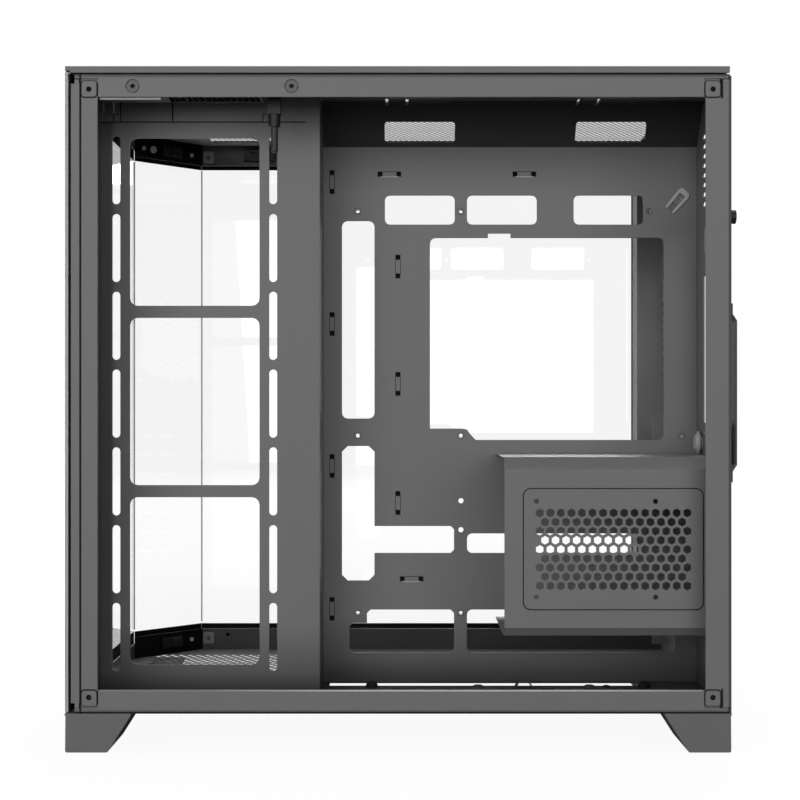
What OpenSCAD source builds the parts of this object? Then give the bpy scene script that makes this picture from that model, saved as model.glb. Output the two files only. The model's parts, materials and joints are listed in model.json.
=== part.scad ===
// Dual chamber computer case with a glass front, a glass corner and a glass left side.
// It is shown with the right side panel taken off, so both chambers are open to that side.
// Places are given as x along the case, as depth in from the open right side,
// and as height above the underside of the steel chassis.

/* [Case] */
// Width from the open right side to the outside of the left glass
case_w = 278; // [276:1:284]
// Thickness of the folded steel sheets
sheet_t = 1; // [0.8:0.1:1.2]
// Height of the feet under the chassis
foot_h = 25; // [20:1:30]
// Length of each foot along the width of the case
foot_l = 52; // [40:1:60]

/* [Chambers] */
// Depth of the side fan bracket
bracket_d = 57.7; // [54:0.1:60]
// Depth of the motherboard tray
tray_d = 106; // [104:0.5:108]
// Depth of the drive bracket plate
drive_d = 18.3; // [16:0.1:22]

/* [Board] */
// Place along the case of the rear column of board holes
board_x = 197.1; // [196:0.1:198]
// Height of the top row of board holes
board_h = 331.2; // [330:0.1:332]
// Height of a standoff above the tray
standoff_h = 6.5; // [6:0.5:8]

/* [Fans] */
// Distance between two side fans
fan_pitch = 120.1; // [119.5:0.1:121]
// Distance between the two rows of mounting slots
fan_holes = 105; // [104:0.5:106]
// Length of a fan opening along the row
fan_open_l = 112; // [108:1:114]
// Width of a fan opening
fan_open_w = 86.7; // [82:0.1:90]

/* [Drive vent] */
// Distance between vent holes in a row
vent_pitch = 6.78; // [6.5:0.01:7]
// Distance between vent rows
vent_row = 5.87; // [5.7:0.01:6]
// Width of a vent hole across its flats
vent_flat = 4.9; // [4:0.1:5.1]

/* [Buttons] */
// Diameter of the power button
power_dia = 13; // [11:0.5:14]
// Travel of the power button
power_travel = 1.5; // [1:0.1:1.5]
// Diameter of the reset button
reset_dia = 5; // [4:0.5:6]

/* [Hidden] */
$fn = 48;
t = sheet_t;
steel = "#5c5c5c";
dark = "#2a2a2a";
black = "#101010";
glass_tint = "#dfe3e6";
bright = "#b8b8b8";

// Glass outline: front face, left face and the slanted corner between them
glass_t = 3;
front_x = -209;
left_d = case_w - glass_t;
corner_c = left_d + 162.5;
glass_low = 0.7;
glass_high = 405.2;
// Chassis heights
chassis_h = 403.7;
ceiling = chassis_h - t;
low_flange = 15;
high_flange = 389.3;
tab_low = 4.9;
tab_high = 399.3;
// Chassis ends
nose_x = -206;
rear_x = 207.6;
post_x = -191.5;
rear_post_x = 192.3;
wall_x0 = -202.4;
// Frame screw holes in the corner tabs
tab_hole = 3.4;
tab_hole_x = 197;
tab_hole_low = 10.2;
tab_hole_high = 394.2;
tongue_w = 13.2;
// Bushes that take the studs of the side panel
socket_x = [-169.4, -69.1];
socket_h = 396.1;
// Clip on the tray, turned from upright
clip_x = 194;
clip_h = 338.5;
clip_turn = 41;
// Middle of the catches on the slanted rails
latch_x = -178.7;
peg_h = 393.4;
// Top fans, set back from the slanted corner, and the row of long vents beside them
top_fan_x = 26;
top_fan_d = 187;
top_open_l = 108;
top_open_w = 97;
vent_d = 95;
vent_w = 34;
top_plate = [-157, 88, 204.5, 246.5];
top_ledge = 3.5;
// Narrow notches through the top sheet over the slanted top of the tray
notch_x = [-9.5, 4.2, 120.9, 134.6];
notch_w = 1.9;
notch_d = 71.5;
notch_l = 13.6;
// Left rails
rail_d = 250;
rail_c = rail_d + 157.9;
rail_h = 16.5;
front_rail_x = -204;
front_rail_h = 11.7;
// Tray
tray_x0 = -55.3;
tray_bend = 376.2;
slope_d = tray_d - 21.2;
tray_flange = 18;
// Slot in the floor in front of the tray, its near edge rolled down
slot_x0 = -49.5;
slot_x1 = 172;
roll_d = 86;
roll_r = 60;
roll_l = 11.5;
slot_d1 = 103.5;
// Drive holes in the floor, on round raised seats
floor_drive_x = 53.1;
floor_drive_d = 85.4;
seat_dia = 10.4;
seat_h = 1.5;
// Screws that stand on the floor
floor_screw_d = 86.2;
// Board holes: columns counted from the rear, rows from the top
board_cols = [0, 22.86, 154.94, 227.33];
board_rows = [0, 157.48, 203.2, 223.52, 281.94];
// Side fans
fan_x = -138;
fan_h0 = 77.3;
slot_w = 5.3;
slot_l = 45.6;
slot_pitch = 52.1;
slot_h0 = 39.7;
bracket_top = 390;
// Power supply face: 150 by 86, its far lower corner on the rear panel
psu_d = 86;
psu_h = 170.3;
// Rear fan
rear_fan_d = 203.5;
rear_fan_h = 265.3;
rear_fan_hole = 82.5;
// Expansion slots
slots_n = 7;
exp_pitch = 20.32;
exp_h0 = 164;
exp_d0 = 113;
exp_d1 = 213;
// Drive bracket
drive_x0 = 66.6;
drive_h0 = 51.5;
drive_h1 = 153.8;
ssd_x = 87.2;
ssd_h = 71.2;
ssd_w = 76.6;
ssd_l = 61.72;
// Top cover
cover_low = chassis_h;
cover_lip = 405.9;
cover_top = 408.7;
// Controls in the top cover
ctrl_d = 13.8;
power_x = -188;
reset_x = -168;
usb_x = [-140.5, -122.5];
usb_c_x = -108;
audio_x = -96;
house_x0 = -200.5;
house_x1 = -88.5;
house_wall = -150.5;
house_low = 391;
board_low = 393;
board_t = 1.6;

// Depth in from the open side as a y coordinate
function y_of(d) = d - case_w / 2;
// Points of a rectangle with round corners
function round_box(x0, y0, x1, y1, r) = [
    for (c = [[x1 - r, y1 - r, 0], [x0 + r, y1 - r, 90], [x0 + r, y0 + r, 180], [x1 - r, y0 + r, 270]])
        for (a = [0, 30, 60, 90])
            [c[0] + r * cos(c[2] + a), c[1] + r * sin(c[2] + a)]
];

// Outline of a slot with round ends, standing along y
module slot(x, y, w, l) {
    translate([x - w / 2, y - (l - w) / 2]) square([w, l - w]);
    for (s = [-1, 1])
        translate([x, y + s * (l - w) / 2]) circle(d = w);
}

// A sheet that faces the open side, drawn as x and height
module wall_y(d, thick = t) {
    translate([0, y_of(d) + thick, foot_h]) rotate([90, 0, 0]) linear_extrude(thick) children();
}
// A sheet across the case, drawn as depth and height
module wall_x(x, thick = t) {
    translate([x, y_of(0), foot_h]) rotate([90, 0, 90]) linear_extrude(thick) children();
}
// A level sheet, drawn as x and depth
module wall_z(h, thick = t) {
    translate([0, y_of(0), foot_h + h]) linear_extrude(thick) children();
}
// A box between two corners, each given as x, depth and height
module block(a, b) {
    translate([a[0], y_of(a[1]), foot_h + a[2]]) cube(b - a);
}
// A round pin from x, depth and height, along the case width
module pin_y(x, d, h, dia, l) {
    translate([x, y_of(d), foot_h + h]) rotate([-90, 0, 0]) cylinder(d = dia, h = l);
}
// A round pin along the case length
module pin_x(x, d, h, dia, l) {
    translate([x, y_of(d), foot_h + h]) rotate([0, 90, 0]) cylinder(d = dia, h = l);
}
// A round pin that stands upright
module pin_z(x, d, h, dia, l) {
    translate([x, y_of(d), foot_h + h]) cylinder(d = dia, h = l);
}

// Plan of the floor and of the top, with the slanted glass corner
module chassis_plan() {
    polygon([[nose_x, 0], [rear_x, 0], [rear_x, left_d], [left_d - corner_c, left_d],
        [front_x, front_x + corner_c], [front_x, 14], [nose_x, 14]]);
}
// Flange along the open side, cut back round the posts and their tabs
module side_flange(h0, h1, cut0, cut1) {
    difference() {
        translate([nose_x, h0]) square([rear_x - nose_x - 0.8, h1 - h0]);
        translate([nose_x - 1, cut0]) square([post_x - nose_x + 1.5, cut1 - cut0]);
        translate([rear_post_x - 0.5, cut0]) square([rear_x - rear_post_x, cut1 - cut0]);
    }
}
// Tongues behind the corner tabs, each with its screw hole
module tongues(h0, h1, hole_h) {
    for (s = [-1, 1])
        wall_y(t) difference() {
            translate([s * (tab_hole_x - 2.3) - tongue_w / 2, h0]) square([tongue_w, h1 - h0]);
            translate([s * tab_hole_x, hole_h]) circle(d = 2.8);
        }
}

// Point of the rolled edge, from its flat start to its lowest end
function roll_point(f, h) = [roll_d + f * roll_l, h - roll_r + sqrt(roll_r * roll_r - pow(f * roll_l, 2))];
function floor_drive_holes() = [
    for (x = [0, ssd_w])
        for (d = [0, ssd_l])
            [floor_drive_x + x, floor_drive_d - d]
];
module floor_pan() {
    mesh_x0 = -187;
    mesh_cols = 12;
    mesh_rows = 9;
    mesh_dx = 30;
    mesh_dy = 10.2;
    color(steel) {
        difference() {
            union() {
                wall_z(0) difference() {
                    chassis_plan();
                    for (i = [0:mesh_cols - 1])
                        for (j = [0:mesh_rows - 1])
                            translate([mesh_x0 + mesh_dx * i + 2, 135 + mesh_dy * j])
                                polygon([[0, 2.8], [2.8, 0], [23.4, 0], [26.2, 2.8], [23.4, 5.6], [2.8, 5.6]]);
                    translate([slot_x0, roll_d]) square([slot_x1 - slot_x0, slot_d1 - roll_d]);
                }
                // rolled edge of the slot
                wall_x(slot_x0, slot_x1 - slot_x0) polygon(concat(
                    [for (i = [0:6]) roll_point(i / 6, t)], [for (i = [6:-1:0]) roll_point(i / 6, 0)]));
            }
            for (p = floor_drive_holes())
                pin_z(p[0], p[1], -t, seat_dia, 3 * t);
        }
        for (p = floor_drive_holes())
            translate([p[0], y_of(p[1]), foot_h]) rotate_extrude()
                polygon([[1.6, seat_h], [2.6, seat_h], [seat_dia / 2, 0], [seat_dia / 2, t],
                    [2.9, t + seat_h], [1.6, t + seat_h]]);
        wall_y(0) side_flange(0, low_flange, tab_low - 1.5, low_flange + 1);
        tongues(0.5, low_flange - 0.5, tab_hole_low);
    }
}

module top_sheet() {
    color(steel) {
        wall_z(ceiling) difference() {
            chassis_plan();
            polygon(round_box(top_plate[0] + top_ledge, top_plate[1] + top_ledge,
                top_plate[2] - top_ledge, top_plate[3] - top_ledge + 1, 5));
            polygon(round_box(house_x0 + 3, 4, house_x1 - 2, 23.5, 1));
            for (x = notch_x)
                translate([x - notch_w / 2, notch_d]) square([notch_w, notch_l]);
        }
        wall_y(0) difference() {
            side_flange(high_flange, chassis_h, high_flange - 1, tab_high + 1.6);
            for (x = socket_x)
                translate([x, socket_h]) circle(d = 8.9);
        }
        tongues(high_flange + 0.5, ceiling + 0.5, tab_hole_high);
    }
}

// Plate under the large opening of the top sheet, with places for three fans
module top_fan_bracket() {
    color(steel) wall_z(ceiling - t) difference() {
        polygon([[top_plate[0], top_plate[1]], [top_plate[2], top_plate[1]], [top_plate[2], top_plate[3]],
            [top_plate[0] + 4, top_plate[3]], [top_plate[0], top_plate[3] - 4]]);
        for (i = [-1:1]) {
            x = top_fan_x + i * fan_pitch;
            polygon(round_box(x - top_open_l / 2, top_fan_d - top_open_w / 2, x + top_open_l / 2,
                top_fan_d + top_open_w / 2, 5));
            polygon(round_box(x - top_open_l / 2, vent_d, x + top_open_l / 2, vent_d + vent_w, 5));
            for (s = [-1, 1])
                for (e = [-1, 1])
                    rotate(90) slot(top_fan_d + s * fan_holes / 2, -x + e * slot_pitch / 2, slot_w, slot_l);
        }
    }
}

// Opening for a power supply face, with an ear round each of its four screws
function psu_opening() = [[83, 183.5], [83, 283.1], [73, 286], [73, 296], [80, 299], [80, 316],
    [14, 316], [14, 307], [10, 304], [10, 184], [23, 182], [23, 174.5], [73, 174.5], [73, 182]];
function psu_screws() = [[psu_d - 6, psu_h + 6], [psu_d - 6, psu_h + 120], [6, psu_h + 144],
    [16, psu_h + 6]];

module rear_panel() {
    grille_pitch = 7;
    grille_half = 40;
    color(steel) {
        wall_x(rear_x) difference() {
            square([left_d, ceiling]);
            polygon(round_box(112.3, 180.4, 156.9, 339.2, 1.5));
            for (i = [0:slots_n - 1])
                polygon(round_box(exp_d0, exp_h0 - exp_pitch * i - 6.5, exp_d1,
                    exp_h0 - exp_pitch * i + 6.5, 1));
            for (j = [-6:6])
                for (i = [-6:6]) {
                    u = grille_pitch * (i + (abs(j) % 2) / 2);
                    v = grille_pitch * 0.866 * j;
                    if (abs(u) < grille_half && norm([u, v]) < grille_half * 1.15)
                        translate([rear_fan_d + v, rear_fan_h + u]) circle(d = 6.8, $fn = 6);
                }
            for (a = [-1, 1])
                for (b = [-1, 1])
                    translate([rear_fan_d + a * rear_fan_hole / 2, rear_fan_h + b * rear_fan_hole / 2])
                        circle(d = 4.5);
            polygon(psu_opening());
            for (p = psu_screws())
                translate(p) circle(d = 4);
            for (j = [0:7])
                polygon(round_box(22, 331 + 6.6 * j, 86, 334.2 + 6.6 * j, 1.5));
        }
        // post along the open side, with its two screw tabs
        wall_y(0) difference() {
            union() {
                translate([rear_post_x, low_flange + 1]) square([rear_x + t - rear_post_x,
                    high_flange - low_flange - 2]);
                polygon(round_box(rear_post_x, tab_low, 202.2, tab_high, 2));
                translate([203.4, 3.8]) square([rear_x - 203.4, tab_high - 2.7]);
            }
            translate([tab_hole_x, tab_hole_low]) circle(d = tab_hole);
            translate([tab_hole_x, tab_hole_high]) circle(d = tab_hole);
        }
        // post along the left glass
        difference() {
            block([188.4, rail_d, rail_h + t], [rear_x + 0.1, left_d, ceiling - rail_h]);
            block([188.4 + t, rail_d + t, rail_h], [rear_x, left_d + 1, ceiling]);
        }
        // ledge that carries the slot cover screws
        wall_y(218) translate([195, 10]) square([11.2, 178]);
        block([206, 218, 10], [rear_x + 0.1, 219, 30]);
        block([206, 218, 176], [rear_x + 0.1, 219, 188]);
    }
}

module front_wall() {
    color(steel) {
        wall_x(wall_x0) translate([t, t]) square([71, ceiling - t]);
        wall_y(0) difference() {
            polygon(round_box(wall_x0, tab_low, post_x, tab_high, 2.4));
            translate([-tab_hole_x, tab_hole_low]) circle(d = tab_hole);
            translate([-tab_hole_x, tab_hole_high]) circle(d = tab_hole);
        }
    }
}

// Channel that backs the edge of the front glass
module front_trim() {
    color(steel) {
        wall_z(6.6, 391.1) polygon([[-208.3, 0], [-202.8, 0], [-202.8, 4], [wall_x0, 4],
            [wall_x0, 14], [wall_x0 - t, 14], [wall_x0 - t, t], [-207.3, t], [-207.3, 14],
            [front_x, 14], [front_x, 13], [-208.3, 13]]);
        wall_z(3.7, 396.6) polygon([[-206, 0], [-203.2, 0], [-203.2, t], [-206, t]]);
    }
}

// Pocket pressed back from the tray for a cable tie, open at both ends of a bridging strip
tie_l = 16.4;
tie_w = 3.4;
tie_end = 3.3;
module tie_pocket(x, h, upright) {
    translate([x, y_of(tray_d + t), foot_h + h]) rotate([0, upright ? 90 : 0, 0]) difference() {
        translate([-tie_l / 2 - 0.8, -0.1, -tie_w / 2 - 0.8]) cube([tie_l + 1.6, 3.4, tie_w + 1.6]);
        translate([-tie_l / 2, -1, -tie_w / 2]) cube([tie_l, 3.5, tie_w]);
    }
}
module tie_ends(x, h, upright) {
    for (s = [-1, 1])
        translate([x, h] + s * (tie_l - tie_end) / 2 * (upright ? [0, 1] : [1, 0]))
            square(upright ? [tie_w, tie_end] : [tie_end, tie_w], center = true);
}
tie_loops = [[-48.3, 351.6, true], [-48.3, 252, true], [-48.3, 152.4, true], [-48.3, 52.2, true],
    [-2, 292.3, true], [-2, 210, true], [-2, 126.4, true], [-8, 357.2, false],
    [86.7, 357.2, false], [7.6, 73.2, false]];

// Large opening behind the processor, its lower edge stepped up at the front end
module cooler_cut() {
    difference() {
        polygon(round_box(20.4, 170.7, 184.6, 312.4, 4));
        polygon([[19, 170], [54, 170], [52, 171.2], [48.5, 175], [46.5, 178], [43.5, 178.7], [19, 178.7]]);
    }
}

module tray_outline() {
    port_w = 49;
    port_low = 321.8;
    port_high = 342.2;
    difference() {
        translate([tray_x0, t]) square([rear_x - tray_x0, tray_bend - t]);
        // long cable openings beside the board
        polygon(round_box(-41.3, 185.7, -18.5, 324.3, 4));
        polygon(concat([[-41.3, 76], [-37.3, 72.1], [-22.5, 72.1], [-18.5, 76], [-18.5, 91.4]],
            [[35, 91.4], [37.3, 93.7], [37.3, 108], [35, 110.3], [-18.5, 110.3]],
            [[-18.5, 162.4], [-22.5, 166.4], [-37.3, 166.4], [-41.3, 162.4]]));
        // row of openings above the board
        for (x = [-11.2, 46.4, 121.2])
            polygon(round_box(x, port_low, x + port_w, port_high, 3.5));
        cooler_cut();
        translate([61.1, 312]) square([15.8, 3.5]);
        polygon(round_box(46.4, 91.4, 167.8, 105.1, 3.5));
        // openings below the board
        polygon([[-36, 24.1], [-33.5, 21.6], [34.8, 21.6], [37.3, 24.1], [37.3, 49.2], [34.8, 51.7],
            [-21.3, 51.7], [-23.8, 49.2], [-23.8, 42.3], [-33.5, 42.3], [-36, 39.8]]);
        polygon(round_box(46.4, 21.6, 192.3, 51.7, 3.5));
        for (p = board_holes())
            translate(p) circle(d = 4.6);
        for (p = spare_holes())
            translate(p) circle(d = 3.6);
        for (l = tie_loops)
            tie_ends(l[0], l[1], l[2]);
        // holes behind the cable clip
        translate([clip_x, clip_h]) rotate(-clip_turn) {
            translate([-2.3, -8.2]) square([4.6, 5]);
            translate([-1.8, 1.9]) square([3.6, 2.4]);
        }
    }
}
function col(i) = board_x - board_cols[i];
function row(i) = board_h - board_rows[i];
function board_holes() = [[col(1), row(0)], [col(2), row(0)], [col(3), row(0)],
    [col(0), row(1)], [col(2), row(1)], [col(3), row(1)],
    [col(0), row(4)], [col(2), row(4)], [col(3), row(4)]];
function spare_holes() = [[col(2), row(2)], [col(2), row(3)]];

module motherboard_tray() {
    color(steel) {
        wall_y(tray_d) tray_outline();
        for (l = tie_loops)
            tie_pocket(l[0], l[1], l[2]);
        // slanted top with its two windows and the lip under the top sheet
        difference() {
            wall_x(tray_x0, rear_x - tray_x0) polygon([[tray_d, tray_bend - 0.1], [tray_d + t, tray_bend - 0.1],
                [slope_d + t * 1.28, ceiling], [slope_d - 12, ceiling], [slope_d - 12, ceiling - t],
                [slope_d, ceiling - t]]);
            for (x = [-11.2, 121.7])
                wall_y(slope_d - 5, 40) polygon(round_box(x, 378.9, x + 48.8, 391.7, 2));
            for (x = notch_x)
                block([x - notch_w / 2, notch_d, ceiling - t - 1], [x + notch_w / 2, notch_d + notch_l, ceiling + 1]);
        }
        // step forward to the fan bracket
        difference() {
            wall_x(tray_x0) polygon([[bracket_d + t, t], [tray_d + t, t], [tray_d + t, tray_bend],
                [slope_d + t, ceiling], [bracket_d + t, ceiling]]);
            for (h = [351.6, 260.6, 163.6, 67.9])
                block([tray_x0 - 1, tray_d - 12, h - 7], [tray_x0 + 2, tray_d - 8, h + 7]);
        }
        wall_y(bracket_d + t) translate([tray_x0 - 9, t]) square([9.5, bracket_top - t]);
        // foot flange on the floor of the main chamber
        wall_z(t) translate([tray_x0, tray_d + 0.5]) square([rear_x - tray_x0, tray_flange]);
    }
}

module fan_bracket() {
    color(steel) {
        wall_y(bracket_d) difference() {
            translate([wall_x0 + t, t]) square([tray_x0 - wall_x0, bracket_top - t]);
            for (i = [0:2])
                polygon(round_box(fan_x - fan_open_w / 2, fan_h0 + fan_pitch * i - fan_open_l / 2,
                    fan_x + fan_open_w / 2, fan_h0 + fan_pitch * i + fan_open_l / 2, 5));
            for (s = [-1, 1])
                for (i = [0:6])
                    slot(fan_x + s * fan_holes / 2, slot_h0 + slot_pitch * i, slot_w, slot_l);
        }
        wall_x(wall_x0 + t) translate([bracket_d, t]) square([14, bracket_top - t]);
    }
}

// Upper cross rail with the edges of its fixing tabs
module io_rail() {
    color(steel) wall_y(bracket_d - t) difference() {
        translate([wall_x0 + t, 384.4]) square([tray_x0 + t - wall_x0 - t, ceiling - 384.4]);
        for (x = [-199.1, -192.4, -153, -88.8])
            translate([x, 383]) square([0.7, 15]);
        translate([-155.1, 388.6]) circle(d = 3);
    }
}

function drive_profile() = [[drive_d, drive_h0], [drive_d, drive_h1], [drive_d + 7.4, drive_h1 + 7.4],
    [tray_d, drive_h1 + 7.4], [tray_d, drive_h1 + 7.4 - t], [drive_d + 7.8, drive_h1 + 7.4 - t],
    [drive_d + t, drive_h1 - 0.4], [drive_d + t, drive_h0 + 0.4], [drive_d + 6.1, drive_h0 - 4.7],
    [tray_d, drive_h0 - 4.7], [tray_d, drive_h0 - 5.7], [drive_d + 5.7, drive_h0 - 5.7]];

// Pressed outline, a hexagonal vent of nine staggered rows and the drive screw holes
module drive_bracket() {
    vent_x = 89.3;
    vent_h = 125.5;
    color(steel) difference() {
        union() {
            wall_x(drive_x0, rear_x - drive_x0) polygon(drive_profile());
            wall_y(drive_d - 0.4, 0.6) polygon(round_box(79, 63.5, 194.2, 140.9, 4.5));
        }
        wall_y(drive_d - 2, 6) {
            for (j = [0:8])
                for (i = [0:14 - j % 2])
                    translate([vent_x + vent_pitch * (i + (j % 2) / 2), vent_h - vent_row * j])
                        rotate(30) circle(d = vent_flat * 1.1547, $fn = 6);
            for (x = [ssd_x, ssd_x + ssd_w])
                for (h = [ssd_h, ssd_h + ssd_l])
                    translate([x, h]) circle(d = 3.2);
        }
    }
}

// Plan of each length of the rail that follows the glass
module left_rail_plan() {
    polygon([[rail_d - rail_c, rail_d], [rear_x, rail_d], [rear_x, left_d], [left_d - corner_c, left_d]]);
}
module corner_rail_plan() {
    polygon([[front_rail_x, front_rail_x + rail_c], [rail_d - rail_c, rail_d],
        [left_d - corner_c, left_d], [front_x, front_x + corner_c]]);
}
module front_rail_plan() {
    polygon([[front_x, 14.4], [front_rail_x, 14.4], [front_rail_x, front_rail_x + rail_c],
        [front_x, front_x + corner_c]]);
}
// The rails have one flange, at the floor or at the top sheet: the span between the heights is open
module left_rail(h, open_low, open_high) {
    color(dark) difference() {
        wall_z(h, rail_h) left_rail_plan();
        block([-300, rail_d + t, open_low], [300, 320, open_high]);
        pin_y(-138.1, rail_d - 1, 12.5, 3.2, 3);
    }
}
module corner_rail(h, open_low, open_high) {
    c = rail_c + t * 1.414;
    color(black) difference() {
        wall_z(h, rail_h) corner_rail_plan();
        wall_z(open_low, open_high - open_low) polygon([[-320, c - 320], [-20, c - 20], [-20, 500], [-320, 500]]);
    }
}
module front_rail(h, high, open_low, open_high) {
    color(dark) difference() {
        wall_z(h, high) front_rail_plan();
        block([-300, 0, open_low], [front_rail_x - t, 320, open_high]);
    }
}
module left_top_rail() left_rail(ceiling - rail_h, 0, ceiling - t);
module left_bottom_rail() left_rail(t, 2 * t, chassis_h);
module corner_top_rail() corner_rail(ceiling - rail_h, 0, ceiling - t);
module corner_bottom_rail() corner_rail(t, 2 * t, chassis_h);
module front_top_rail() front_rail(ceiling - front_rail_h, front_rail_h, 0, ceiling - t);
module front_bottom_rail() front_rail(t, front_rail_h, 2 * t, chassis_h);

// The three panes stand edge to edge with a hairline gap
module pane(points) {
    color(glass_tint) wall_z(glass_low, glass_high - glass_low) polygon(points);
}
module front_glass() {
    pane([[front_x, 0.5], [front_x, front_x + corner_c - 0.2],
        [front_x - glass_t, front_x - glass_t + corner_c + glass_t * 1.414 - 0.2], [front_x - glass_t, 0.5]]);
}
module corner_glass() {
    c = corner_c + glass_t * 1.414;
    pane([[front_x + 0.1, front_x + corner_c + 0.1], [left_d - corner_c - 0.1, left_d - 0.1],
        [case_w - c - 0.1, case_w - 0.1], [front_x - glass_t + 0.1, front_x - glass_t + c + 0.1]]);
}
module side_glass() {
    c = corner_c + glass_t * 1.414;
    pane([[left_d - corner_c + 0.2, left_d], [rear_x, left_d], [rear_x, case_w], [case_w - c + 0.2, case_w]]);
}

module cover_plan(e) {
    c = corner_c + glass_t * 1.414;
    polygon([[front_x - glass_t + e, e], [rear_x - e, e], [rear_x - e, case_w - e],
        [case_w - c + 0.4 * e, case_w - e], [front_x - glass_t + e, front_x - glass_t + c - 0.4 * e]]);
}
// Cut-outs for the controls, each with its clearance
module control_cuts() {
    translate([power_x, ctrl_d]) circle(d = power_dia + 0.8);
    translate([reset_x, ctrl_d]) circle(d = reset_dia + 0.8);
    for (x = usb_x)
        translate([x, ctrl_d]) square([13.6, 6.1], center = true);
    polygon(round_box(usb_c_x - 4.7, ctrl_d - 1.9, usb_c_x + 4.7, ctrl_d + 1.9, 1.8));
    translate([audio_x, ctrl_d]) circle(d = 7.2);
}
module top_cover() {
    cols = 11;
    rows = 15;
    dx = 33;
    dy = 11.6;
    color(steel) wall_z(cover_lip, cover_top - cover_lip) difference() {
        cover_plan(0);
        for (i = [0:cols - 1])
            for (j = [0:rows - 1])
                translate([-180 + dx * i, 84 + dy * j])
                    polygon([[0, 3], [3, 0], [26.5, 0], [29.5, 3], [26.5, 6], [3, 6]]);
        control_cuts();
    }
}
// Rim that holds the cover above the top sheet
module cover_rim() {
    color(dark) wall_z(cover_low, cover_lip - cover_low) difference() {
        cover_plan(3.3);
        cover_plan(5.5);
    }
}

module io_housing() {
    color(black) difference() {
        block([house_x0, 2, house_low], [house_x1, 25.5, ceiling]);
        block([house_x0 + 2, 4, house_low + 1.5], [house_wall, 23.5, ceiling + 1]);
        block([house_wall + 2, 4, house_low - 1], [house_x1 - 2, 23.5, ceiling + 1]);
        pin_y(socket_x[0], t, socket_h, 12, 5.6);
    }
}
// Circuit board of the front controls, with the solder pins of its ports underneath
module io_board() {
    color("#18301f") {
        block([house_wall + 2, 4, board_low], [house_x1 - 2, 23.5, board_low + board_t]);
        for (i = [0:13])
            for (j = [0:2])
                block([-145 + 4 * i, 6 + 6 * j, board_low - 3.4], [-144 + 4 * i, 7 + 6 * j, board_low + 0.2]);
    }
}

// A round cap with a retaining collar and a stem above its switch
module push_button(x, dia, high) {
    color(dark) {
        pin_z(x, ctrl_d, cover_lip - 1.6, dia, high - cover_lip + 1.6);
        pin_z(x, ctrl_d, cover_lip - 1.8, dia + 3, 1.3);
        pin_z(x, ctrl_d, 398, 3, 8);
    }
}
module power_button() push_button(power_x, power_dia, cover_top - 0.2);
module reset_button() push_button(reset_x, reset_dia, cover_top - 0.2);
module button_switches() {
    color(black)
        for (x = [power_x, reset_x]) {
            block([x - 3, ctrl_d - 3, house_low + 1.5], [x + 3, ctrl_d + 3, house_low + 4]);
            pin_z(x, ctrl_d, house_low + 3.9, 3, 1.2);
        }
}

module usb_port(x) {
    top = cover_top - 0.4;
    base = board_low + board_t;
    color(bright) {
        difference() {
            block([x - 6.6, ctrl_d - 2.85, base], [x + 6.6, ctrl_d + 2.85, top]);
            block([x - 6.2, ctrl_d - 2.45, base + 3], [x + 6.2, ctrl_d + 2.45, top + 1]);
        }
        block([x - 5.6, ctrl_d - 0.2, base + 2.5], [x + 5.6, ctrl_d + 1.6, top - 1.5]);
    }
}
module usb_port_1() usb_port(usb_x[0]);
module usb_port_2() usb_port(usb_x[1]);
module usb_c_port() {
    top = cover_top - 0.4;
    base = board_low + board_t;
    color(bright) {
        difference() {
            wall_z(base, top - base) polygon(round_box(usb_c_x - 4.5, ctrl_d - 1.7, usb_c_x + 4.5, ctrl_d + 1.7, 1.6));
            wall_z(base + 3, top) polygon(round_box(usb_c_x - 4.1, ctrl_d - 1.3, usb_c_x + 4.1, ctrl_d + 1.3, 1.2));
        }
        block([usb_c_x - 3.2, ctrl_d - 0.35, base + 2.5], [usb_c_x + 3.2, ctrl_d + 0.35, top - 1]);
    }
}
module audio_jack() {
    base = board_low + board_t;
    color(black) difference() {
        pin_z(audio_x, ctrl_d, base, 7, cover_top - 0.4 - base);
        pin_z(audio_x, ctrl_d, base + 2, 3.6, 30);
    }
}

// Moulded plug body and sleeve of the lead that drops from the controls
module lead_boot() {
    color(dark) {
        block([-85.6, 16, 381.8], [-77.3, 24, ceiling]);
        pin_z(-81.45, 20, 374, 7.6, 8);
    }
}
module lead_stub() {
    color(dark) translate([-81.45, y_of(20), foot_h + 357.7]) rotate_extrude()
        polygon([[0, 0], [1.9, 0], [2.3, 0.4], [2.3, 16.3], [0, 16.3]]);
}

// Foot with one raked end, seen from the side, with a groove under its top edge
module foot(x_out, x_top, x_low, d) {
    s = sign(x_out);
    color(steel) translate([0, y_of(d) + foot_l, 0]) rotate([90, 0, 0]) linear_extrude(foot_l)
        polygon([[x_out, foot_h], [x_out, foot_h - 1], [x_out - s * 0.5, foot_h - 1.5],
            [x_out - s * 0.3, 1.3], [x_out - s * 1.1, 0.5], [x_low + s * 0.9, 0.5], [x_low, 1.3],
            [x_top - s * 0.2, foot_h - 1.2], [x_top - s * 0.4, foot_h]]);
}
module pad(x, d) {
    color(black) translate([x - 9, y_of(d) + 6, 0]) cube([18, foot_l - 12, 0.5]);
}
far_foot_d = left_d - foot_l - 60;
module foot_front_right() foot(-212.3, -170.7, -184.8, 0);
module foot_rear_right() foot(208.8, 166.9, 181.2, 0);
module foot_front_left() foot(-208.6, -167, -181.1, far_foot_d);
module foot_rear_left() foot(208.8, 166.9, 181.2, left_d - foot_l);
module pad_front_right() pad(-199, 0);
module pad_rear_right() pad(195, 0);
module pad_front_left() pad(-195, far_foot_d);
module pad_rear_left() pad(195, left_d - foot_l);

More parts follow.
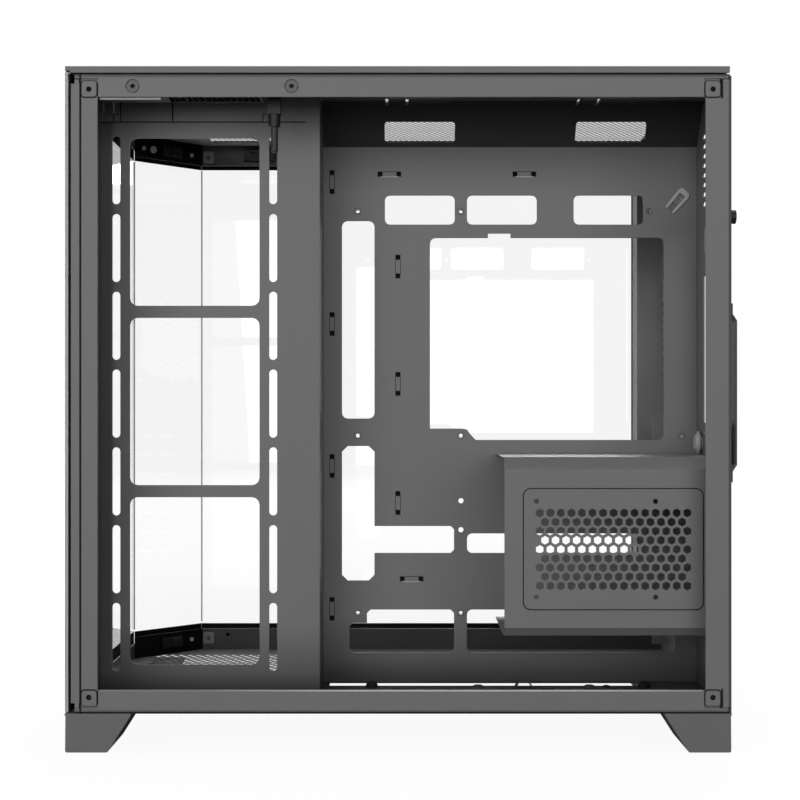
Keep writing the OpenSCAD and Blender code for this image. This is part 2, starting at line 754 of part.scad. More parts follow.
// Blanking plate of one expansion slot, bent over the ledge at its far end
module slot_cover(i) {
    h = exp_h0 - exp_pitch * (i - 1);
    color(steel) {
        difference() {
            block([rear_x - t, 108, h - 9.2], [rear_x, 220, h + 9.2]);
            for (d = [130, 150, 170, 190])
                block([rear_x - 2, d - 7, h - 1.2], [rear_x + 1, d + 7, h + 1.2]);
        }
        block([196.5, 219, h - 9.2], [rear_x - t + 0.1, 220, h + 7]);
    }
}
module slot_cover_1() slot_cover(1);
module slot_cover_2() slot_cover(2);
module slot_cover_3() slot_cover(3);
module slot_cover_4() slot_cover(4);
module slot_cover_5() slot_cover(5);
module slot_cover_6() slot_cover(6);
module slot_cover_7() slot_cover(7);
module slot_screws() {
    color(dark)
        for (i = [0:slots_n - 1])
            difference() {
                pin_y(201.5, 220, exp_h0 - exp_pitch * i, 6.4, 2.2);
                pin_y(201.5, 221.2, exp_h0 - exp_pitch * i, 2.6, 3);
            }
}

// Riveted standoffs: a hexagon on the board side, a bored shank through the tray
module standoffs() {
    color(bright)
        for (p = board_holes())
            difference() {
                union() {
                    translate([p[0], y_of(tray_d + t), foot_h + p[1]]) rotate([-90, 0, 0])
                        cylinder(d = 6.3, h = standoff_h, $fn = 6);
                    pin_y(p[0], tray_d - 0.4, p[1], 4.6, t + 0.5);
                }
                pin_y(p[0], tray_d - 1, p[1], 2.9, standoff_h + 4);
            }
}

// Pan head screw with a recess, its head this wide and this high
module pan_screw(x, w, high) {
    translate([x, y_of(floor_screw_d), foot_h + t]) rotate_extrude()
        polygon([[0, 0], [w / 2, 0], [w / 2, high * 0.45], [w * 0.36, high * 0.85], [w * 0.2, high],
            [w * 0.16, high], [w * 0.16, high * 0.5], [0, high * 0.5]]);
}
module tray_screws() {
    color(dark) {
        pan_screw(-20, 8.1, 4);
        pan_screw(141.4, 5.2, 1.4);
        pan_screw(167.4, 8.1, 4);
    }
}
// Low strip bent up from the floor in an arch, for cable ties
module cable_arch() {
    color(dark) wall_y(floor_screw_d - 4, 6) translate([84.4, t])
        polygon([[-6.6, 0], [-3.6, 4.6], [3.6, 4.6], [6.6, 0], [5.5, 0], [3.1, 3.8], [-3.1, 3.8], [-5.5, 0]]);
}
module rear_thumbscrew() {
    color(dark) difference() {
        union() {
            pin_x(rear_x + t, 6, psu_h + 144, 8.8, 3.7);
            pin_x(rear_x - 3, 6, psu_h + 144, 3.8, 5);
        }
        for (i = [0:11])
            translate([rear_x + t + 1, y_of(6), foot_h + psu_h + 144]) rotate([30 * i, 0, 0])
                translate([0, 4.1, -0.3]) cube([4, 1, 0.6]);
    }
}
module panel_sockets() {
    color(dark)
        for (x = socket_x)
            difference() {
                union() {
                    pin_y(x, 0.3, socket_h, 7.6, 5.7);
                    pin_y(x, t, socket_h, 11, 2);
                }
                pin_y(x, -t, socket_h, 2.9, 6);
            }
}
// Spring clips on the left top rail that grip the side glass
module panel_clips() {
    color(black)
        for (x = [-112.5, 150])
            difference() {
                block([x - 12, rail_d - 3, ceiling - 12.8], [x + 12, rail_d, ceiling - 4.2]);
                block([x - 7, rail_d - 4, ceiling - 10.8], [x + 7, rail_d - 1.4, ceiling - 6.2]);
            }
}
// A child placed on the slanted rail at this x and height, facing the chambers
module on_corner(x, h) {
    translate([x, y_of(rail_c + x), foot_h + h]) rotate([0, 0, 45]) children();
}
module corner_pegs() {
    color(bright)
        for (p = [[-191.9, peg_h, 5.4], [-198.2, peg_h, 3.1], [-165.9, peg_h, 3.1], [-165.9, 10.1, 3.1]])
            on_corner(p[0], p[1]) rotate([90, 0, 0]) cylinder(d = p[2], h = 1.2);
}
// Flat clip set slantwise on the tray, with two prongs that point down
module cable_clip() {
    color(bright) translate([clip_x, y_of(tray_d), foot_h + clip_h]) rotate([0, clip_turn, 0])
        rotate([90, 0, 0]) linear_extrude(1.4) difference() {
            polygon([[-3.8, -9], [3.9, -9], [4.6, 6.5], [3, 9], [-3, 9], [-4.6, 6.5]]);
            translate([-2.3, -12]) square([4.6, 17.3]);
        }
}
// Plates that join the corner rails to the left rails
module rail_brackets() {
    color(steel)
        for (h = [5.4, 388.5])
            wall_y(rail_d - 0.8, 0.8) difference() {
                polygon(round_box(-157.4, h, -148.8, h + 9.2, 1.5));
                translate([-153.3, h + 4.2]) circle(d = 2.8);
            }
}
// Catches for the corner glass on the slanted rails
module corner_latches() {
    color(black)
        for (h = [10.1, peg_h])
            on_corner(latch_x, h) {
                translate([-9.4, -1.6, -3.9]) cube([17.4, 1.6, 7.8]);
                translate([-1.6, -3, -2.8]) cube([9, 3, 5.6]);
            }
}
// Round cushion on the rear panel below the power supply
module psu_pad() {
    color(bright) translate([rear_x, y_of(89), foot_h + 169.3]) rotate([0, -90, 0]) rotate_extrude()
        polygon([[0, 0], [5, 0], [5.6, 1.6], [7.9, 2.2], [7.9, 3], [5.6, 3.4], [5, 4.8], [0, 4.8]]);
}
// Raised strap riveted outside the rear panel
module rear_strap() {
    color(steel) wall_y(0.6, 16) polygon([[rear_x + t, 146], [rear_x + 2 * t, 146],
        [rear_x + 2 * t, 152.9], [212.3, 157], [212.3, 248.2], [rear_x + 2 * t, 252.3],
        [rear_x + 2 * t, 259], [rear_x + t, 259], [rear_x + t, 251.9], [211.5, 247.8], [211.5, 157.4],
        [rear_x + t, 153.3]]);
}

floor_pan();
top_sheet();
rear_panel();
front_wall();
front_trim();
motherboard_tray();
fan_bracket();
drive_bracket();
io_rail();
left_top_rail();
left_bottom_rail();
corner_top_rail();
corner_bottom_rail();
front_top_rail();
front_bottom_rail();
front_glass();
corner_glass();
side_glass();
top_cover();
io_housing();
io_board();
power_button();
reset_button();
button_switches();
usb_port_1();
usb_port_2();
usb_c_port();
audio_jack();
lead_boot();
lead_stub();
foot_front_right();
foot_rear_right();
foot_front_left();
foot_rear_left();
pad_front_right();
pad_rear_right();
pad_front_left();
pad_rear_left();
slot_cover_1();
slot_cover_2();
slot_cover_3();
slot_cover_4();
slot_cover_5();
slot_cover_6();
slot_cover_7();
slot_screws();
standoffs();
tray_screws();
rear_thumbscrew();
panel_sockets();
panel_clips();
corner_pegs();
cable_clip();
psu_pad();
rear_strap();
rail_brackets();
corner_latches();
cable_arch();
top_fan_bracket();
cover_rim();
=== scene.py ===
# %% [markdown]
# # An open computer case
# The steel parts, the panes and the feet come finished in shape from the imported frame.
# Here they get their paint, glass and plastic, and the finely pierced sheets are built anew,
# because a thousand small holes say more about such a sheet than any colour does.

# %% Load the frame
import json
import math
import bpy
import bmesh
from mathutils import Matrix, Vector
from mathutils.geometry import delaunay_2d_cdt


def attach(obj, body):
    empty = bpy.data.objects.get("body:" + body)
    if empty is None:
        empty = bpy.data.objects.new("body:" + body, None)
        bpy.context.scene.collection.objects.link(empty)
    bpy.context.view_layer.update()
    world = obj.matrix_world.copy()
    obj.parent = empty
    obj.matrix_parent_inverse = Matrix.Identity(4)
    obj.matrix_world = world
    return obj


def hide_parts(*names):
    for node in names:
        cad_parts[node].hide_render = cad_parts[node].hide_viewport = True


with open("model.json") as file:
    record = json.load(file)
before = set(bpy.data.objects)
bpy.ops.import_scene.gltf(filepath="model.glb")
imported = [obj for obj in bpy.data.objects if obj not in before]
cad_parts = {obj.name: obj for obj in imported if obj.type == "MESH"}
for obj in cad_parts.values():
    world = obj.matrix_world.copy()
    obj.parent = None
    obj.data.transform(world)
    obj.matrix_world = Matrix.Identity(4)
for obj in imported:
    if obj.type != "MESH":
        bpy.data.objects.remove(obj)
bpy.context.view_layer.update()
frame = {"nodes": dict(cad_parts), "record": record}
print("frame holds", len(frame["nodes"]), "nodes")

# %% [markdown]
# ## Measures
# A case maker works in millimetres: x along the case, depth in from the open side, and
# height above the underside of the chassis. Small helpers turn such measures into the
# metres of the scene, so every later number can be read like a drawing.

# %% Case millimetres to scene metres
MM = 0.001
CASE_W = 278.0
FOOT_H = 25.0
FRONT_X = -209.0
NOSE_X = -206.0
REAR_X = 207.6
LEFT_D = 275.0
CORNER_C = LEFT_D + 162.5
TAB_X = 197.0
TAB_HEIGHTS = (10.2, 394.2)


def inward(depth):
    return (depth - CASE_W / 2) * MM


def upward(height):
    return (height + FOOT_H) * MM


def place(x, depth, height):
    return Vector((x * MM, inward(depth), upward(height)))


print("open side at y", round(inward(0), 4))

# %% [markdown]
# ## Camera
# The case is seen square on from its open side, from about a metre away, so the far
# chamber draws together in steep perspective. A long lens with a little vertical shift
# keeps all uprights upright, as a product photographer would do with a shift lens.

# %% Camera
VIEW_X = -0.6
VIEW_DISTANCE = 948.0
VIEW_H = 191.7

lens = bpy.data.cameras.new("case_camera")
lens.sensor_width = 36.0
lens.lens = 67.6
lens.shift_y = 0.0125
lens.clip_start = 0.02
lens.clip_end = 50.0
camera = bpy.data.objects.new("case_camera", lens)
camera.location = place(VIEW_X, -VIEW_DISTANCE, VIEW_H)
camera.rotation_euler = (math.radians(90), 0.0, 0.0)
bpy.context.scene.collection.objects.link(camera)
bpy.context.scene.camera = camera
bpy.context.scene.view_settings.view_transform = "Standard"
print("camera", tuple(round(v, 4) for v in camera.location))

# %% [markdown]
# ## Node helpers
# A finish is a small graph of nodes, and writing each link out is long and easy to get
# wrong. These helpers add a node, feed a socket with a value or a link, and send a value
# through a row of sums, so that the later cells read like the sums themselves.


# %% Node helpers
def add_node(tree, kind, x, y, **values):
    node = tree.nodes.new(kind)
    node.location = (x, y)
    for key, value in values.items():
        setattr(node, key, value)
    return node


def feed(tree, socket, value):
    """Links a socket to another one, or sets it to a plain value."""
    if isinstance(value, bpy.types.NodeSocket):
        tree.links.new(value, socket)
    else:
        socket.default_value = value


def chain(tree, first, *steps):
    """Sends a value through math nodes: an operation, alone or with its second value."""
    for k, step in enumerate(steps):
        operation, value = step if isinstance(step, tuple) else (step, 0.0)
        node = add_node(tree, "ShaderNodeMath", -400 + 150 * k, -150, operation=operation)
        feed(tree, node.inputs[0], first)
        feed(tree, node.inputs[1], value)
        first = node.outputs[0]
    return first


def product(tree, first, *others):
    return chain(tree, first, *[("MULTIPLY", other) for other in others])


def greatest(tree, first, *others):
    return chain(tree, first, *[("MAXIMUM", other) for other in others])


def ramp(tree, value, start, stop, low=0.0, high=1.0):
    """Goes from low to high while value goes from start to stop."""
    node = add_node(tree, "ShaderNodeMapRange", 0, 200)
    feed(tree, node.inputs["Value"], value)
    for label, number in (("From Min", start), ("From Max", stop), ("To Min", low), ("To Max", high)):
        node.inputs[label].default_value = number
    return node.outputs["Result"]


def object_axes(tree):
    """The x, y and z of the shaded point, in metres."""
    where = add_node(tree, "ShaderNodeTexCoord", -1200, 0)
    axes = add_node(tree, "ShaderNodeSeparateXYZ", -1000, 0)
    tree.links.new(where.outputs["Object"], axes.inputs[0])
    return [axes.outputs[label] for label in "XYZ"]


print("node helpers ready")

# %% [markdown]
# ## Studio room
# Behind the panes stands a white backdrop. A white room would also wash out the dark
# paint, so only the eye and rays through glass see white; what lights the steel is dim,
# and reflections are white only toward the back, where the backdrop is.


# %% Room light
def seen_directly(tree, x, y):
    """Two masks: rays of the eye or through glass, and rays of a reflection."""
    path = add_node(tree, "ShaderNodeLightPath", x, y)
    either = add_node(tree, "ShaderNodeMath", x + 200, y, operation="MAXIMUM")
    tree.links.new(path.outputs["Is Camera Ray"], either.inputs[0])
    tree.links.new(path.outputs["Is Transmission Ray"], either.inputs[1])
    return either.outputs[0], path.outputs["Is Glossy Ray"]


def backdrop(tree, strength, x, y):
    light = add_node(tree, "ShaderNodeBackground", x, y)
    light.inputs["Color"].default_value = (1, 1, 1, 1)
    light.inputs["Strength"].default_value = strength
    return light.outputs[0]


def mix_shaders(tree, factor, first, second, x, y):
    mix = add_node(tree, "ShaderNodeMixShader", x, y)
    for socket, source in zip(mix.inputs, (factor, first, second)):
        tree.links.new(source, socket)
    return mix.outputs[0]


room = bpy.data.worlds.new("studio_room")
bpy.context.scene.world = room
room.use_nodes = True
tree = room.node_tree
tree.nodes.clear()
where = add_node(tree, "ShaderNodeTexCoord", -900, -200)
axes = add_node(tree, "ShaderNodeSeparateXYZ", -700, -200)
tree.links.new(where.outputs["Generated"], axes.inputs[0])
behind = ramp(tree, axes.outputs["Y"], -0.2, 0.3)
seen, glossy = seen_directly(tree, -400, 300)
front_light, rear_light = backdrop(tree, 0.3, -300, -350), backdrop(tree, 1.0, -300, -450)
reflected = mix_shaders(tree, behind, front_light, rear_light, 0, -100)
lighting = mix_shaders(tree, glossy, backdrop(tree, 0.1, -100, 200), reflected, 200, 0)
whole_room = mix_shaders(tree, seen, lighting, backdrop(tree, 1.0, 100, 300), 400, 100)
out = add_node(tree, "ShaderNodeOutputWorld", 600, 100)
tree.links.new(whole_room, out.inputs["Surface"])
print("room ready")

# %% [markdown]
# ## Soft lamps
# Dark powder coat shows its shape by soft, broad light. Two wide lamps stand far off in
# front of the open side, so the light is even from the feet to the top cover. One lights
# the glass side from behind, and a weak one hangs overhead.


# %% Soft lamps
LAMP_TARGET = Vector((0, 0, 0.22))


def soft_lamp(name, where, width, height, watts):
    light = bpy.data.lights.new(name, "AREA")
    light.shape = "RECTANGLE"
    light.size = width
    light.size_y = height
    light.energy = watts
    lamp = bpy.data.objects.new(name, light)
    lamp.location = where
    toward = LAMP_TARGET - Vector(where)
    lamp.rotation_euler = toward.to_track_quat("-Z", "Y").to_euler()
    bpy.context.scene.collection.objects.link(lamp)
    print(name, "at", where, watts, "W")


soft_lamp("key_softbox", (1.0, -4.2, 1.0), 3.4, 2.4, 66)
soft_lamp("left_softbox", (-1.6, -2.9, 0.45), 2.2, 2.2, 60)
soft_lamp("glass_side_softbox", (0.6, 3.2, 1.6), 2.0, 1.5, 40)
soft_lamp("overhead_softbox", (0.0, 0.2, 2.8), 1.8, 1.8, 25)

# %% [markdown]
# ## Floor
# The case stands on white paper. To the eye the paper glows a little, more so away from
# the case, so it stays white and still keeps the soft shadow of the feet. To all other
# rays it is a plain dull grey, so it throws no glow on the underside of the case.

# %% Pale floor
FLOOR_SIZE = 14.0
PAPER_TONE = 0.2
SEEN_PAPER_TONE = 0.13
GLOW_NEAR, GLOW_FAR = 0.93, 0.99
GLOW_START, GLOW_END = 0.3, 1.1


def paper_layer(tree, tone, glow, y):
    layer = add_node(tree, "ShaderNodeBsdfPrincipled", 0, y)
    layer.inputs["Base Color"].default_value = (tone, tone, tone, 1)
    layer.inputs["Roughness"].default_value = 0.95
    layer.inputs["Specular IOR Level"].default_value = 0.0
    layer.inputs["Emission Color"].default_value = (1, 1, 1, 1)
    feed(tree, layer.inputs["Emission Strength"], glow)
    return layer.outputs[0]


bpy.ops.mesh.primitive_plane_add(size=FLOOR_SIZE, location=(0, 0, 0))
floor = bpy.context.object
floor.name = "studio_floor"
paper = bpy.data.materials.new("studio_paper")
paper.use_nodes = True
tree = paper.node_tree
tree.nodes.clear()
where = add_node(tree, "ShaderNodeTexCoord", -900, -400)
away = add_node(tree, "ShaderNodeVectorMath", -700, -400, operation="LENGTH")
tree.links.new(where.outputs["Object"], away.inputs[0])
glow = ramp(tree, away.outputs["Value"], GLOW_START, GLOW_END, GLOW_NEAR, GLOW_FAR)
seen = seen_directly(tree, -600, 500)[0]
dull_paper = paper_layer(tree, PAPER_TONE, 0.0, 200)
white_paper = paper_layer(tree, SEEN_PAPER_TONE, glow, -300)
out = add_node(tree, "ShaderNodeOutputMaterial", 520, 0)
tree.links.new(mix_shaders(tree, seen, dull_paper, white_paper, 320, 0), out.inputs["Surface"])
floor.data.materials.append(paper)
print("floor", FLOOR_SIZE, "m wide")

# %% [markdown]
# ## Soft edges
# Folded and punched sheet is never perfectly sharp: its edges are a little round and catch
# the light. The meshes stay as they are, so a bevel node rounds only the normal, and the
# difference from the flat normal gives a mask of the edges.


# %% Edge group
def new_group(name, inputs, outputs):
    group = bpy.data.node_groups.new(name, "ShaderNodeTree")
    for label, value in inputs:
        socket = group.interface.new_socket(name=label, in_out="INPUT", socket_type="NodeSocketFloat")
        socket.default_value = value
    for label, kind in outputs:
        group.interface.new_socket(name=label, in_out="OUTPUT", socket_type=kind)
    start = add_node(group, "NodeGroupInput", -700, 0)
    end = add_node(group, "NodeGroupOutput", 700, 0)
    return group, start, end


edge_group, start, end = new_group(
    "soft_edge", [("Radius", 0.0004)], [("Edge", "NodeSocketFloat"), ("Normal", "NodeSocketVector")])
rounded = add_node(edge_group, "ShaderNodeBevel", -450, 100, samples=4)
flat = add_node(edge_group, "ShaderNodeNewGeometry", -450, -120)
alike = add_node(edge_group, "ShaderNodeVectorMath", -200, 0, operation="DOT_PRODUCT")
link = edge_group.links.new
link(start.outputs["Radius"], rounded.inputs["Radius"])
link(rounded.outputs["Normal"], alike.inputs[0])
link(flat.outputs["Normal"], alike.inputs[1])
link(ramp(edge_group, alike.outputs["Value"], 0.985, 0.8), end.inputs["Edge"])
link(rounded.outputs["Normal"], end.inputs["Normal"])
print("group", edge_group.name)

# %% [markdown]
# ## Coat
# Powder coat has a fine orange peel and very slight clouds in its tone. Two noises do
# both, at scales that each finish sets, because moulded plastic is coarser than paint.

# %% Coat group
coat_group, start, end = new_group(
    "coat_grain", [("Grain Scale", 1500.0), ("Cloud Scale", 9.0)],
    [("Grain", "NodeSocketFloat"), ("Cloud", "NodeSocketFloat")])
where = add_node(coat_group, "ShaderNodeTexCoord", -600, 200)
for label, detail in (("Grain", 2.0), ("Cloud", 3.0)):
    noise = add_node(coat_group, "ShaderNodeTexNoise", -300, 150)
    noise.inputs["Detail"].default_value = detail
    coat_group.links.new(where.outputs["Object"], noise.inputs["Vector"])
    coat_group.links.new(start.outputs[label + " Scale"], noise.inputs["Scale"])
    coat_group.links.new(noise.outputs["Fac"], end.inputs[label])
print("group", coat_group.name)

# %% [markdown]
# ## Underside
# Faces that look down, such as the lower side of the slanted top of the tray, get hardly
# any light in the photograph. The true normal gives a mask of them.

# %% Underside group
under_group, start, end = new_group("underside", [("Amount", 0.0)], [("Shade", "NodeSocketFloat")])
flat = add_node(under_group, "ShaderNodeNewGeometry", -500, 0)
axes = add_node(under_group, "ShaderNodeSeparateXYZ", -300, 0)
under_group.links.new(flat.outputs["True Normal"], axes.inputs[0])
downward = ramp(under_group, axes.outputs["Z"], -0.3, -0.6)
under_group.links.new(product(under_group, downward, start.outputs["Amount"]), end.inputs["Shade"])
print("group", under_group.name)

# %% [markdown]
# ## Joint lines
# The corner tabs lie flush in the frame of the open side, and a dark joint runs round each.
# Such a joint is too fine for a mesh, so a mask draws it by its place: the distance to a
# rounded box round the tab's middle. The same mask shades the bends along the frame.

# %% Joint line group
TAB_LINE_X = 196.85
TAB_LINE_H = (9.65, 394.35)
TAB_HALF = (2.9, 3.15)
TAB_ROUND = 2.2
JOINT_DARK = 0.97
BEND_DARK = 0.85
GAP_X = -202.35

line_group, start, end = new_group(
    "joint_lines", [("Amount", 0.0)], [("Line", "NodeSocketFloat"), ("Glint", "NodeSocketFloat")])
px, py, pz = object_axes(line_group)
near = ramp(line_group, py, inward(0.9), inward(1.2), 1.0, 0.0)
tab_middle = sum(TAB_LINE_H) / 2
tab_reach = TAB_LINE_H[1] - tab_middle
u = chain(line_group, px, "ABSOLUTE", ("SUBTRACT", TAB_LINE_X * MM),
          "ABSOLUTE", ("SUBTRACT", TAB_HALF[0] * MM))
v = chain(line_group, pz, ("SUBTRACT", upward(tab_middle)), "ABSOLUTE", ("SUBTRACT", tab_reach * MM),
          "ABSOLUTE", ("SUBTRACT", TAB_HALF[1] * MM))
u_square, v_square = [chain(line_group, side, ("MAXIMUM", 0.0), ("POWER", 2.0)) for side in (u, v)]
off_joint = chain(line_group, u_square, ("ADD", v_square), "SQRT", ("SUBTRACT", TAB_ROUND * MM), "ABSOLUTE")
tab = ramp(line_group, off_joint, 0.35 * MM, 0.62 * MM, JOINT_DARK, 0.0)
off_gap = chain(line_group, px, ("SUBTRACT", GAP_X * MM), "ABSOLUTE")
gap = ramp(line_group, off_gap, 0.5 * MM, 0.8 * MM, JOINT_DARK, 0.0)
rear_bend = ramp(line_group, px, 206.6 * MM, 207.0 * MM, 0.0, 0.6)
low_bend = product(line_group, ramp(line_group, pz, upward(0), upward(0.1)),
                   ramp(line_group, pz, upward(2.8), upward(0.6), 0.0, BEND_DARK))
high_bend = product(line_group, ramp(line_group, pz, upward(403.75), upward(403.9), 1.0, 0.0),
                    ramp(line_group, pz, upward(401), upward(403.7), 0.0, BEND_DARK))
dark = greatest(line_group, tab, gap, rear_bend, low_bend, high_bend)
line_group.links.new(product(line_group, dark, near, start.outputs["Amount"]), end.inputs["Line"])
print("group", line_group.name, "draws its lines")

# %% [markdown]
# ## Bright flange edge
# The bend at the top of the lower flange catches the light as a bright line, brightest near
# the middle. It is a narrower band than any lamp would give, so the group's second output
# is a mask along that height, weaker toward both ends and absent on the corner tabs.

# %% Glint along the lower flange
FLANGE_H = 14.6
GLINT_X = 45.0

off_flange = chain(line_group, pz, ("SUBTRACT", upward(FLANGE_H)), "ABSOLUTE")
rim = ramp(line_group, off_flange, 0.3 * MM, 0.6 * MM, 1.0, 0.0)
off_glint = chain(line_group, px, ("SUBTRACT", GLINT_X * MM), "ABSOLUTE")
spread = ramp(line_group, off_glint, 80 * MM, 170 * MM, 1.0, 0.15)
between_tabs = ramp(line_group, chain(line_group, px, "ABSOLUTE"), 189.5 * MM, 190.5 * MM, 1.0, 0.0)
glint = product(line_group, rim, spread, between_tabs, near, start.outputs["Amount"])
line_group.links.new(glint, end.inputs["Glint"])
print("group", line_group.name, "is complete")

# %% [markdown]
# ## Deep corners
# The photograph is darker than soft lamps give it at the foot of the walls round the tray,
# at the front edge of the fan bracket, and in the pressed pockets behind the cable ties.
# Three masks by place, for the foot, the side and the pockets, darken them.

# %% Deep corner group
deep_group, start, end = new_group("deep_corner", [("Pocket", 0.0)], [("Deep", "NodeSocketFloat")])
px, py, pz = object_axes(deep_group)
foot = product(deep_group, ramp(deep_group, py, inward(106.5), inward(107.5), 1.0, 0.0),
               ramp(deep_group, py, inward(51), inward(53)),
               ramp(deep_group, pz, upward(49), upward(5), 0.0, 0.72))
pocket = product(deep_group, ramp(deep_group, pz, upward(4), upward(5)),
                 ramp(deep_group, py, inward(107), inward(107.2)), start.outputs["Pocket"])
side = product(deep_group, ramp(deep_group, px, -190.5 * MM, -194.5 * MM, 0.0, 0.62),
               ramp(deep_group, py, inward(59.5), inward(60.5), 1.0, 0.0),
               ramp(deep_group, py, inward(56.5), inward(58)))
deep_group.links.new(greatest(deep_group, foot, pocket, side), end.inputs["Deep"])
print("group", deep_group.name)

# %% [markdown]
# ## Colour helpers
# Real paint is never one number, and shade and highlight are painted on top of it. A tone is
# mixed from a darker and a lighter one, and the groups above say where, so these helpers add a
# group and mix two colours by a mask.


# %% Colour helpers
def grey(level):
    return (level, level, level)


def add_group(tree, group, x, y, label, value):
    node = add_node(tree, "ShaderNodeGroup", x, y, node_tree=group)
    node.inputs[label].default_value = value
    return node


def mix_colours(tree, factor, first, second, x, y):
    node = add_node(tree, "ShaderNodeMix", x, y, data_type="RGBA")
    for label, value in (("Factor", factor), ("A", first), ("B", second)):
        feed(tree, node.inputs[label], value)
    return node.outputs["Result"]


def scaled(tone, factor, lift=0.0):
    return (*[min(1.0, c * factor + lift) for c in tone], 1)


print("colour helpers ready")

# %% [markdown]
# ## Finish recipe
# One recipe serves paint, moulded plastic and plated steel: a base tone with faint clouds,
# a lighter line along the edges that is partly wear and partly painted highlight, a painted
# highlight on the lower flange, painted shade where the groups above say, a fine bump, and
# its own gloss. Only the numbers differ.

# %% Finish recipe
SHADE_TONE = (*grey(0.006), 1)
GLINT_TONE = (*grey(0.6), 1)
GLOSS_PLAY = 0.05
GRAIN_DEPTH = 0.0002


def finish(name, tone, rough, metal=0.0, grain=0.06, grain_scale=1500.0, edge_tone=1.5, edge=0.5,
           radius=0.0004, cloud=0.06, under=0.0, lines=0.0, pocket=0.0, shine=0.3):
    material = bpy.data.materials.new(name)
    material.use_nodes = True
    tree = material.node_tree
    tree.nodes.clear()
    edges = add_group(tree, edge_group, -900, 200, "Radius", radius)
    coat = add_group(tree, coat_group, -900, -100, "Grain Scale", grain_scale)
    below = add_group(tree, under_group, -650, 400, "Amount", under)
    joints = add_group(tree, line_group, -650, 600, "Amount", lines)
    deep = add_group(tree, deep_group, -650, 500, "Pocket", pocket)

    # Painted shade: faces that look down, bends, deep corners and pockets go nearly black.
    shade = greatest(tree, below.outputs["Shade"], joints.outputs["Line"], deep.outputs["Deep"])
    # The lighter edge line is partly wear and partly painted highlight.
    rim = chain(tree, edges.outputs["Edge"], ("MULTIPLY", edge))
    darker, lighter = scaled(tone, 1 - cloud), scaled(tone, 1 + cloud)
    base = mix_colours(tree, coat.outputs["Cloud"], darker, lighter, -650, -50)
    base = mix_colours(tree, rim, base, scaled(tone, edge_tone, 0.01), -400, 50)
    # Painted highlight: the bright line along the top of the lower flange.
    base = mix_colours(tree, joints.outputs["Glint"], base, GLINT_TONE, -300, 300)
    base = mix_colours(tree, shade, base, SHADE_TONE, -200, 100)
    gloss = ramp(tree, coat.outputs["Cloud"], 0.0, 1.0, rough - GLOSS_PLAY, rough + GLOSS_PLAY)
    bump = add_node(tree, "ShaderNodeBump", -200, -350)
    bump.inputs["Strength"].default_value = grain
    bump.inputs["Distance"].default_value = GRAIN_DEPTH
    tree.links.new(coat.outputs["Grain"], bump.inputs["Height"])
    tree.links.new(edges.outputs["Normal"], bump.inputs["Normal"])

    surface = add_node(tree, "ShaderNodeBsdfPrincipled", 0, 0)
    surface.inputs["Metallic"].default_value = metal
    surface.inputs["Specular IOR Level"].default_value = shine
    tree.links.new(base, surface.inputs["Base Color"])
    tree.links.new(greatest(tree, gloss, shade), surface.inputs["Roughness"])
    tree.links.new(bump.outputs["Normal"], surface.inputs["Normal"])
    out = add_node(tree, "ShaderNodeOutputMaterial", 300, 0)
    tree.links.new(surface.outputs[0], out.inputs["Surface"])
    return material


print("finish recipe ready")

# %% [markdown]
# ## The list of finishes
# The chassis, the tray and the cover wear the same dark grey powder coat, with their own
# edges and shades. Plastic parts are darker and coarser, and the ports are plated steel.

# %% Finishes
finishes = {
    # The chassis steel carries the joint lines, the painted shade of its bends and the painted flange
    # highlight.
    "steel": finish("powder_coat_grey", grey(0.172), 0.5, grain=0.08, edge_tone=1.6, edge=0.3, radius=0.0006,
                    cloud=0.03, lines=1.0),
    # The tray's finish paints shade on faces that look down and in its tie pockets.
    "tray_steel": finish("powder_coat_tray", grey(0.172), 0.5, grain=0.08, edge_tone=1.5, edge=0.2,
                         radius=0.0010, cloud=0.03, under=0.8, pocket=0.97),
    "dark_steel": finish("powder_coat_dark", grey(0.05), 0.45, grain=0.08, edge_tone=1.8),
    "black": finish("powder_coat_black", grey(0.004), 0.6, grain=0.08, edge_tone=2.0, edge=0.2, shine=0.1),
    "dull_standoff": finish("dull_standoff", grey(0.12), 0.45, grain=0.05, radius=0.0003),
    "cover": finish("powder_coat_cover", grey(0.168), 0.5, grain=0.08, edge_tone=1.6, edge=0.3, cloud=0.03),
    "black_plastic": finish("black_moulding", grey(0.012), 0.48, grain=0.12, grain_scale=900, edge_tone=2.5),
    "circuit_board": finish("board_lacquer", (0.008, 0.013, 0.01), 0.35, grain=0.1, grain_scale=400,
                            edge_tone=2.0),
    "button": finish("satin_key", grey(0.09), 0.38, radius=0.0006),
    "bare_steel": finish("plated_shell", grey(0.55), 0.3, metal=1.0, grain=0.05, edge_tone=1.2),
    "cable": finish("cable_jacket", grey(0.03), 0.5, grain=0.15, grain_scale=700),
    "foot_plastic": finish("foot_moulding", grey(0.15), 0.55, grain=0.14, grain_scale=1100, radius=0.0006),
    "rubber": finish("foot_rubber", grey(0.025), 0.75, grain=0.2, grain_scale=600),
    "screw_black": finish("black_plated_screw", grey(0.02), 0.35, metal=0.3, grain=0.05, radius=0.0003,
                          edge_tone=2.2),
    # Pale tone for painted highlights on edges that catch the light.
    "pale_plastic": finish("painted_highlight", grey(0.42), 0.5, grain=0.08, edge_tone=1.3),
}
print(len(finishes), "finishes")

# %% [markdown]
# ## Glass
# The panes are clear tempered glass, edge to edge. Clear glass in a renderer is a closed
# body with full transmission; the printed border is a separate thin black layer on its
# inner face, as it is on the real pane.

